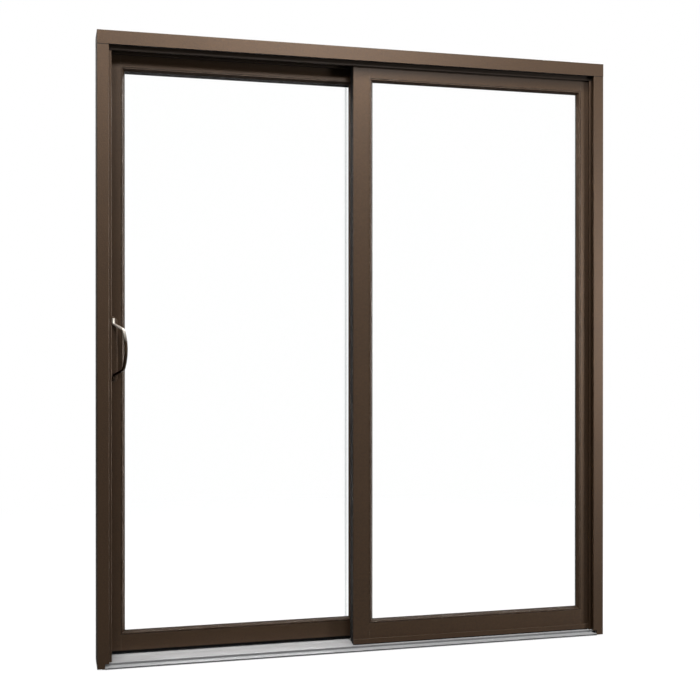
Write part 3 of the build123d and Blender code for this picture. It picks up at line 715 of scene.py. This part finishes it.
class DOOR_OT_finishes(bpy.types.Operator):
    """Builds the finishes and gives each CAD node its own"""

    bl_idname = "door.finishes"
    bl_label = "Finishes"

    def execute(self, context):
        finishes = context.scene.door_finishes
        build_groups()
        bronze_paint("bronze_cladding_paint", finishes)
        bronze_paint("fixed_panel_paint", finishes, FIXED_FRONT, FIXED_FOOT)
        bronze_paint("sliding_panel_paint", finishes, SLIDING_FRONT, SLIDING_FOOT, shade=0.3)
        bronze_paint("retainer_paint", finishes, FIXED_FRONT, RETAINER_FOOT)
        bronze_paint("pull_plate_paint", finishes)
        white_lining("room_side_white", finishes)
        drawn_metal(
            "drawn_sill", finishes.sill, along=4.0, across=520.0, rough=0.46, contrast=0.7,
            bump=0.00010, dark=0.78, bare=0.3, front_shade=0.62)
        drawn_metal(
            "brushed_stainless", finishes.steel, along=9.0, across=1500.0, rough=0.28,
            contrast=0.5, bump=0.00004)
        drawn_metal(
            "dull_spacer", (0.10, 0.10, 0.10), along=6.0, across=700.0, rough=0.5,
            contrast=0.4, bump=0.00004)
        bronze_with_painted_highlight("bronze_hardware_painted_highlight", finishes)
        moulded("soft_rubber", (0.022, 0.021, 0.020), rough=0.72, pebble=0.0012, bump=0.00005)
        # The sweep's near black also stands in for the shade in the gap under the sliding panel
        moulded(
            "black_sweep", (0.003, 0.003, 0.003), rough=0.85, pebble=0.0012, bump=0.00003,
            shine=0.05)
        moulded("moulded_nylon", (0.46, 0.45, 0.41), rough=0.48, pebble=0.0020, bump=0.00003)
        brush_pile("brush_seal")
        clear_glass("clear_pane")
        members = ("left_stile", "right_stile", "bottom_rail", "top_rail")
        for name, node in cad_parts.items():
            for place in node.material_slots:
                slot_name = place.material.name.split(".")[0]
                finish = CAD_FINISHES[slot_name]
                panel = name.split("_")[0]
                if any(name == panel + "_" + member for member in members):
                    finish = panel + "_panel_paint"
                if name == "fixed_panel_retainer":
                    finish = "retainer_paint"
                place.material = bpy.data.materials[finish]
        return {"FINISHED"}


def upright(turned):
    """A direction in the upright plane of the bow, turned up from the outward one."""
    return Vector((math.cos(turned), 0, math.sin(turned)))


def half_bow(shape):
    """The upper half of the bow in the upright plane: its grip, shoulder, neck and curl."""
    bow = sheet("bow", shape.strap_thickness, shape.strap_width, (shape.reach, 0, 0))
    pick(bow, "VERT", lambda vertex: True)
    bpy.ops.mesh.bevel(
        offset=shape.strap_rounding, segments=5, profile=0.5, affect="VERTICES")
    bpy.ops.mesh.select_all(action="SELECT")
    bpy.ops.mesh.select_mode(type="FACE")
    centre = Vector((shape.reach - shape.radius, 0, 0))
    bpy.ops.mesh.spin(steps=22, angle=shape.sweep, center=centre, axis=(0, 1, 0))
    turned = shape.sweep
    shoulder_centre = centre + upright(turned) * (shape.radius - shape.shoulder_radius)
    bpy.ops.mesh.spin(
        steps=12, angle=shape.shoulder_sweep, center=shoulder_centre, axis=(0, 1, 0))
    turned += shape.shoulder_sweep
    outward = upright(turned)
    ahead = Vector((-math.sin(turned), 0, math.cos(turned)))
    end = shoulder_centre + outward * shape.shoulder_radius
    neck_steps = 3
    for _ in range(neck_steps):
        extrude(ahead * shape.neck / neck_steps)
    end += ahead * shape.neck
    bpy.ops.mesh.spin(
        steps=14, angle=turned, center=end + outward * shape.root_radius, axis=(0, -1, 0))
    extrude((0, 0, shape.root_length))
    leave_edit()
    pick(bow, "FACE", lambda face: abs(face.center.z) < SAME_PLANE)
    bpy.ops.mesh.delete(type="FACE")
    leave_edit()
    top = max(vertex.co.z for vertex in bow.data.vertices)
    round_edges(bow, in_plane(bow, 2, top), 0.0015)
    return bow


def make_pull(shape):
    """The outer pull: a plate with rounded ends and a bow that curls up at both roots."""
    plate_middle = PLATE_LEFT + shape.plate_width / 2
    plate_face = SLIDING_FRONT - shape.plate_thickness
    bow = half_bow(shape)
    mirror = bow.modifiers.new("both halves", "MIRROR")
    mirror.use_axis = (False, False, True)
    mirror.merge_threshold = SAME_PLANE
    take(bow)
    bpy.ops.object.modifier_apply(modifier=mirror.name)
    bow.rotation_euler = (0, 0, -shape.turn)
    bow.location = (plate_middle + shape.root_offset, plate_face - shape.root_rise, PULL_MIDDLE)
    settle(bow, "bow")
    finish_mesh(bow, 40)
    half_width, half_length = shape.plate_width / 2, shape.plate_length / 2
    plate = block(
        "pull_plate", (plate_middle - half_width, plate_face, PULL_MIDDLE - half_length),
        (plate_middle + half_width, SLIDING_FRONT, PULL_MIDDLE + half_length))
    round_edges(plate, along(plate, 1), half_width * 0.998, 14)
    round_edges(plate, in_plane(plate, 1, plate_face), shape.plate_bevel, 4)
    pick(plate, "FACE", lambda face: face.normal.y < -0.99 and face.area > 1e-4)
    for border, drop in ((0.0018, 0.0), (0.0006, 0.0004)):
        extrude((0, drop, 0))
        bpy.ops.transform.resize(
            value=(1 - border / half_width, 1, 1 - border / half_length),
            center_override=(plate_middle, plate_face, PULL_MIDDLE))
    finish_mesh(plate, 25)
    bow.data.materials.append(bpy.data.materials["bronze_hardware_painted_highlight"])
    plate.data.materials.append(bpy.data.materials["pull_plate_paint"])
    return join("exterior_pull_cast", bow, plate)


class DOOR_OT_pulls(bpy.types.Operator):
    """Models the two bow pulls and the thumb turn of the lock"""

    bl_idname = "door.pulls"
    bl_label = "Pulls and thumb turn"

    def execute(self, context):
        shape = context.scene.pull_shape
        outer = make_pull(shape)
        over = Matrix.Translation((0, 2 * SLIDING_MIDDLE, 0)) @ Matrix.Diagonal((1, -1, 1, 1))
        inner = copy_moved(outer, "interior_pull_cast", over)
        finish_mesh(inner)
        for pull in (outer, inner):
            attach(pull, "sliding_panel")
        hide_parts("exterior_pull")
        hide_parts("interior_pull")
        self.thumb_turn()
        return {"FINISHED"}

    def thumb_turn(self):
        """A domed rose with a waisted paddle."""
        low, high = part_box("thumb_turn")
        middle = (low + high) / 2
        rose_rise = 0.0025
        half_thickness, half_length = 0.003, 0.010
        waist = low.y + 0.006
        rose = disc_bar(
            "rose", (middle.x, low.y, middle.z), (high.x - low.x) / 2, rose_rise, (0, 1, 0), 48)
        round_edges(rose, in_plane(rose, 1, low.y + rose_rise), 0.0014, 4)
        paddle = block(
            "paddle", (middle.x - half_thickness, low.y + 0.0020, middle.z - half_length),
            (middle.x + half_thickness, high.y, middle.z + half_length))
        pick(paddle, "FACE", lambda item: item.normal.y > 0.9)
        bpy.ops.transform.resize(value=(0.72, 1, 1))
        bpy.ops.mesh.select_all(action="SELECT")
        bpy.ops.mesh.subdivide(number_cuts=3)
        leave_edit()
        pick(paddle, "VERT", lambda item: item.co.y < waist + 0.001)
        bpy.ops.transform.resize(value=(0.8, 1, 0.72), center_override=middle)
        leave_edit()
        round_edges(paddle, sharp(paddle), 0.0009)
        finish_mesh(paddle, 50)
        finish_mesh(rose)
        turn = join("thumb_turn_cast", rose, paddle)
        dress(turn, "bronze_hardware_painted_highlight", "sliding_panel")
        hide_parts("thumb_turn")


def pile_strip(name, low, high, run, toward):
    """A brush seal on the frame: a thin carrier with a narrower pile, along one axis. The pile
    points along another, whose number is counted from 1 and has the sign of the direction."""
    carrier = 0.0009
    strip = block(name, low, high)
    sign = 1 if toward > 0 else -1
    axis = abs(toward) - 1
    wide = [i for i in range(3) if i not in (run, axis)][0]
    outer_face = high[axis] if sign > 0 else low[axis]
    base = outer_face - sign * ((high[axis] - low[axis]) - carrier)
    pick(strip, "FACE", lambda face: face.normal[axis] * sign > 0.9)
    bpy.ops.transform.translate(value=[
        (base - outer_face) if i == axis else 0 for i in range(3)])
    bpy.ops.mesh.inset(thickness=(high[wide] - low[wide]) * 0.22)
    extrude([(outer_face - base) if i == axis else 0 for i in range(3)])
    leave_edit()
    round_edges(strip, in_plane(strip, axis, outer_face), 0.0008)
    finish_mesh(strip, 50)
    dress(strip, "brush_seal", "frame")


def rubber_strip(name, low, high, rounding, finish):
    """A long strip of rubber on the sliding panel, with its long edges rounded."""
    strip = block(name, low, high)
    round_edges(strip, along(strip, 0), rounding, 2)
    finish_mesh(strip)
    dress(strip, finish, "sliding_panel")


class DOOR_OT_seals(bpy.types.Operator):
    """Models the brush seals of the running panel and the seals round the glass"""

    bl_idname = "door.seals"
    bl_label = "Seals"

    def execute(self, context):
        small = context.scene.small_pieces
        self.brushes(small)
        self.glass_seals(small)
        self.head_strip()
        self.sweep()
        return {"FINISHED"}

    def brushes(self, small):
        """Brush seals in the head, on the sill, down the closing jamb and at the interlock."""
        guide_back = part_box("head_guide")[1].y
        liner_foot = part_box("head_liner")[0].z
        threshold_low, threshold_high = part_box("interior_threshold")
        lip_low, lip_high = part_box("fixed_interlock")
        stop = threshold_low.y
        half, pile = small.pile_width / 2, small.pile_height
        left, right = threshold_low.x + END_INSET, threshold_high.x - END_INSET
        head_line, sill_line = liner_foot + 0.011, 0.051
        jamb_line, lip_line = threshold_low.x + 0.0055, lip_high.x - 0.005
        pile_strip(
            "head_brush_outer", (left, guide_back, head_line - half),
            (right, guide_back + pile, head_line + half), 0, 2)
        pile_strip(
            "head_brush_inner", (left, stop - pile, head_line - half),
            (right, stop, head_line + half), 0, -2)
        pile_strip(
            "sill_brush", (left, stop - pile, sill_line - half),
            (right, stop, sill_line + half), 0, -2)
        pile_strip(
            "left_jamb_brush", (jamb_line - half, stop - pile, threshold_high.z + END_INSET),
            (jamb_line + half, stop, liner_foot - END_INSET), 2, -2)
        pile_strip(
            "interlock_brush", (lip_line - half, lip_high.y, lip_low.z + END_INSET),
            (lip_line + half, lip_high.y + pile, lip_high.z - END_INSET), 2, 2)

    def glass_seals(self, small):
        """A thin dark seal where the bead and the stops meet the glass."""
        for panel, body in (("fixed", "frame"), ("sliding", "sliding_panel")):
            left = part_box(panel + "_left_stile")[1].x
            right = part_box(panel + "_right_stile")[0].x
            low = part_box(panel + "_bottom_rail")[1].z
            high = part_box(panel + "_top_rail")[0].z
            outer_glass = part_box(panel + "_outer_pane")[0].y
            inner_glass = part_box(panel + "_inner_pane")[1].y
            self.ring(
                panel + "_outer_glass_seal", (left, right, low, high), small.gasket,
                outer_glass - SEAL_THICKNESS, outer_glass, body)
            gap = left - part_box(panel + "_left_glazing_stop")[1].x
            self.ring(
                panel + "_inner_glass_seal",
                (left - gap, right + gap, low - gap, high + gap), small.gasket,
                inner_glass, inner_glass + SEAL_THICKNESS, body)

    def sweep(self):
        """The dark sweep under the sliding panel, just behind its front face. It is a real part, made
        near black and matt so that it also stands in for the shade in the gap under the panel.
        """
        left, right = STILE_LOW.x + END_INSET, RIGHT_STILE_HIGH.x - END_INSET
        front, thickness, drop = STILE_LOW.y + 0.0012, 0.0030, 0.0055
        rubber_strip(
            "sliding_sweep", (left, front, STILE_LOW.z - drop),
            (right, front + thickness, STILE_LOW.z), 0.0006, "black_sweep")

    def head_strip(self):
        """The dark setting strip that shows along the top of the sliding panel's glass."""
        low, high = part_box("sliding_top_glazing_stop")
        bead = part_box("sliding_top_rail")[0].z
        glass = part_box("sliding_inner_pane")[1].y
        inset, drop = low.z - bead, 0.0060
        rubber_strip(
            "sliding_head_strip", (low.x + inset, glass, bead - drop),
            (high.x - inset, glass + SEAL_THICKNESS, high.z - END_INSET), 0.0004, "soft_rubber")

    def ring(self, name, opening, width, near, far, body):
        """A flat ring inside an opening, between two depths."""
        left, right, low, high = opening
        middle = ((left + right) / 2, near, (low + high) / 2)
        ring = sheet(name, right - left, high - low, middle, math.pi / 2)
        pick(ring, "FACE", lambda face: True)
        bpy.ops.mesh.inset(thickness=width)
        bpy.ops.mesh.delete(type="FACE")
        bpy.ops.mesh.select_all(action="SELECT")
        extrude((0, far - near, 0))
        leave_edit()
        finish_mesh(ring, 30)
        dress(ring, "soft_rubber", body)


def cross_head(name, foot, normal, radius, rise):
    """A domed screw head with a cross recess, its foot on a face."""
    normal = Vector(normal).normalized()
    head = disc_bar(name, (0, 0, 0), radius, rise, (0, 0, 1), 24)
    round_edges(head, in_plane(head, 2, rise), min(rise, radius) * 0.7, 4)
    long, short, bottom = radius * 0.62, radius * 0.14, rise * 0.35
    for across, up in ((long, short), (short, long)):
        cutter = block("recess", (-across, -up, bottom), (across, up, rise * 2))
        pick(cutter, "FACE", lambda face: face.normal.z < -0.9)
        bpy.ops.transform.resize(value=(0.6, 0.6, 1))
        leave_edit()
        cut = head.modifiers.new("recess", "BOOLEAN")
        cut.operation = "DIFFERENCE"
        cut.object = cutter
        take(head)
        bpy.ops.object.modifier_apply(modifier=cut.name)
        bpy.data.objects.remove(cutter)
    turn_to = normal.to_track_quat("Z", "Y").to_matrix().to_4x4()
    head.data.transform(Matrix.Translation(Vector(foot)) @ turn_to)
    return finish_mesh(head, 30)


class DOOR_OT_fixings(bpy.types.Operator):
    """Models the screws and the hook bolts of the lock"""

    bl_idname = "door.fixings"
    bl_label = "Screws and hooks"

    def execute(self, context):
        lock_low, lock_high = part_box("lock_plate")
        keeper_low, keeper_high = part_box("lock_keeper")
        lock_inset, keeper_inset = 0.012, 0.007
        plate_middle, plate_face = PLATE_LEFT + 0.0175, SLIDING_BACK + 0.0044
        plate_reach = 0.089
        edge_y = SLIDING_MIDDLE - 0.011
        steel, bronze = ("brushed_stainless", "stainless"), ("bronze_hardware_painted_highlight", "dark_hardware")
        self.screws("lock_plate_screws", "sliding_panel", (-1, 0, 0), steel, [
            (lock_low.x, SLIDING_MIDDLE, lock_low.z + lock_inset),
            (lock_low.x, SLIDING_MIDDLE, lock_high.z - lock_inset)])
        self.screws("keeper_screws", "frame", (1, 0, 0), steel, [
            (keeper_high.x, SLIDING_MIDDLE, keeper_low.z + keeper_inset),
            (keeper_high.x, SLIDING_MIDDLE, keeper_high.z - keeper_inset)])
        self.screws("interior_plate_screws", "sliding_panel", (0, 1, 0), bronze, [
            (plate_middle, plate_face, PULL_MIDDLE - plate_reach),
            (plate_middle, plate_face, PULL_MIDDLE + plate_reach)])
        self.screws("sliding_left_edge_screws", "sliding_panel", (-1, 0, 0), steel, [
            (STILE_LOW.x, edge_y, z) for z in self.corner_heights()])
        self.screws("sliding_right_edge_screws", "sliding_panel", (1, 0, 0), steel, [
            (RIGHT_STILE_HIGH.x, edge_y, z) for z in self.corner_heights()])
        self.hooks(lock_low, lock_high)
        return {"FINISHED"}

    def screws(self, name, body, normal, finish, places):
        """One piece of like screws. finish holds the material; its second entry, a slot name, is not
        used.
        """
        radius = bpy.context.scene.small_pieces.screw_radius
        rise = 0.0008
        heads = [cross_head(f"{name}_{i}", place, normal, radius, rise)
                 for i, place in enumerate(places)]
        dress(join(name, *heads), finish[0], body)

    def corner_heights(self):
        """Heights of the assembly screws, two at each end of a stile."""
        return (STILE_LOW.z + 0.048, STILE_LOW.z + 0.060,
                STILE_HIGH.z - 0.018, STILE_HIGH.z - 0.044)

    def hooks(self, low, high):
        """Two hook bolts drawn back in the slots of the lock plate."""
        spread, half_thickness, above, below, sunk = 0.035, 0.0018, 0.0085, 0.0105, 0.0006
        made = []
        for height in (PULL_MIDDLE - spread, PULL_MIDDLE + spread):
            hook = block(
                f"hook_{len(made)}", (low.x + sunk, SLIDING_MIDDLE - half_thickness, height - below),
                (high.x, SLIDING_MIDDLE + half_thickness, height + above))
            round_edges(hook, along(hook, 1), 0.0006)
            made.append(finish_mesh(hook))
        bolts = join("lock_hooks", *made)
        dress(bolts, "brushed_stainless", "sliding_panel")


class DOOR_OT_studio(bpy.types.Operator):
    """Sets up the floor, the lamps, the background and the camera"""

    bl_idname = "door.studio"
    bl_label = "Studio"

    def execute(self, context):
        studio = context.scene.studio_settings
        self.floor(studio)
        self.lamps(studio)
        self.background(studio)
        self.camera(studio)
        context.scene.view_settings.view_transform = "Standard"
        return {"FINISHED"}

    def floor(self, studio):
        """A wide plain floor under the sill. It pales to the background away from the door."""
        floor = sheet("studio_floor", 60, 60)
        material = bpy.data.materials.new("pale_floor")
        tree = empty_tree(material)
        place = put(tree, "ShaderNodeTexCoord").outputs["Object"]
        seen = seen_clearly(tree, put(tree, "ShaderNodeLightPath").outputs)
        away = put(tree, "ShaderNodeVectorMath", {0: place}, operation="LENGTH").outputs["Value"]
        starts, full = 1.2, 4.0
        far = ramp(tree, away, starts, full)
        plain = put(tree, "ShaderNodeBsdfDiffuse", {"Color": rgba(studio.floor)})
        glow = calc(tree, "MULTIPLY", seen, ramp(tree, away, starts, full, 0.86, 1.0))
        pale = put(tree, "ShaderNodeEmission", {"Color": WHITE, "Strength": glow})
        near = put(tree, "ShaderNodeAddShader", {0: plain.outputs[0], 1: pale.outputs[0]})
        beyond = put(tree, "ShaderNodeMixShader", {
            0: calc(tree, "MULTIPLY", far, seen), 1: near.outputs[0], 2: pale.outputs[0]})
        put(tree, "ShaderNodeOutputMaterial", {"Surface": beyond.outputs[0]})
        floor.data.materials.append(material)

    def lamps(self, studio):
        """Soft lamps: high in front, overhead, on both sides, low in front and two in the room."""
        aim = Vector((0.0, -0.07, 1.05))
        distance = 5.5
        for name, azimuth, elevation, power in (
            ("key_lamp", 12, 37, studio.key_power),
            ("top_lamp", 0, 65, studio.top_power),
            ("left_lamp", -30, 30, studio.left_power),
            ("side_lamp", 54, 4, studio.side_power),
            ("crest_lamp", -50, 50, studio.crest_power),
            ("low_lamp", -8, 4, studio.low_power),
            ("room_lamp_left", 235, 35, studio.room_power),
            ("room_lamp_right", 140, 35, studio.room_power),
        ):
            a, e = math.radians(azimuth), math.radians(elevation)
            toward = Vector((
                math.sin(a) * math.cos(e), -math.cos(a) * math.cos(e), math.sin(e)))
            clear_choice()
            bpy.ops.object.light_add(type="AREA", location=aim + toward * distance)
            lamp = bpy.context.object
            lamp.name = name
            lamp.rotation_euler = toward.to_track_quat("Z", "Y").to_euler()
            lamp.data.shape = "SQUARE"
            lamp.data.size = 1.0
            lamp.data.energy = power

    def background(self, studio):
        """White where it is seen and in the panes. As light it is dim, and dimmest in front."""
        world = bpy.data.worlds.new("studio_surround")
        bpy.context.scene.world = world
        tree = empty_tree(world)
        path = put(tree, "ShaderNodeLightPath").outputs
        heading = parts(tree, put(tree, "ShaderNodeTexCoord").outputs["Generated"])
        behind = ramp(tree, heading["Y"], 0.0, 0.4)
        glossy = calc(
            tree, "MULTIPLY", path["Is Glossy Ray"],
            ramp(tree, behind, 0.0, 1.0, studio.front_ambient, studio.reflected))
        soft = calc(
            tree, "MULTIPLY", calc(tree, "SUBTRACT", 1.0, path["Is Glossy Ray"]),
            ramp(tree, behind, 0.0, 1.0, studio.front_ambient, studio.ambient))
        level = calc(
            tree, "MAXIMUM", seen_clearly(tree, path), calc(tree, "MAXIMUM", glossy, soft))
        sky = put(tree, "ShaderNodeBackground", {"Color": WHITE, "Strength": level})
        put(tree, "ShaderNodeOutputWorld", {"Surface": sky.outputs[0]})

    def camera(self, studio):
        """A camera at the photograph's place: left of the door and at half its height."""
        clear_choice()
        bpy.ops.object.camera_add(
            location=CAMERA_PLACE,
            rotation=(math.radians(90 - CAMERA_DIP), 0, math.radians(CAMERA_TURN)))
        camera = bpy.context.object
        camera.name = "door_camera"
        camera.data.lens = studio.focal_length
        camera.data.sensor_width = 36
        camera.data.dof.use_dof = False
        camera.data.clip_end = 200
        bpy.context.scene.camera = camera


class DOOR_PT_panel(bpy.types.Panel):
    """Lists the settings and the steps of the door"""

    bl_idname = "DOOR_PT_panel"
    bl_label = "Patio door"
    bl_space_type = "VIEW_3D"
    bl_region_type = "UI"
    bl_category = "Patio door"

    def draw(self, context):
        layout = self.layout
        scene = context.scene
        for title, settings in (
            ("Finishes", scene.door_finishes),
            ("Pulls", scene.pull_shape),
            ("Small pieces", scene.small_pieces),
            ("Studio", scene.studio_settings),
        ):
            box = layout.box()
            box.label(text=title)
            for key in settings.__annotations__:
                box.prop(settings, key)
        for step in STEPS:
            layout.operator(step.bl_idname)


SETTINGS = {
    "door_finishes": DoorFinishes,
    "pull_shape": PullShape,
    "small_pieces": SmallPieces,
    "studio_settings": StudioSettings,
}
STEPS = (DOOR_OT_finishes, DOOR_OT_pulls, DOOR_OT_seals, DOOR_OT_fixings, DOOR_OT_studio)


def register():
    """Registers the settings, the steps and the panel."""
    for name, group in SETTINGS.items():
        bpy.utils.register_class(group)
        setattr(bpy.types.Scene, name, bpy.props.PointerProperty(type=group))
    for step in STEPS:
        bpy.utils.register_class(step)
    bpy.utils.register_class(DOOR_PT_panel)


def unregister():
    """Undoes register."""
    bpy.utils.unregister_class(DOOR_PT_panel)
    for step in reversed(STEPS):
        bpy.utils.unregister_class(step)
    for name, group in SETTINGS.items():
        delattr(bpy.types.Scene, name)
        bpy.utils.unregister_class(group)


def main():
    """Builds the whole scene."""
    register()
    for step in STEPS:
        group, name = step.bl_idname.split(".")
        getattr(getattr(bpy.ops, group), name)()
    clear_choice()


if __name__ == "__main__":
    main()
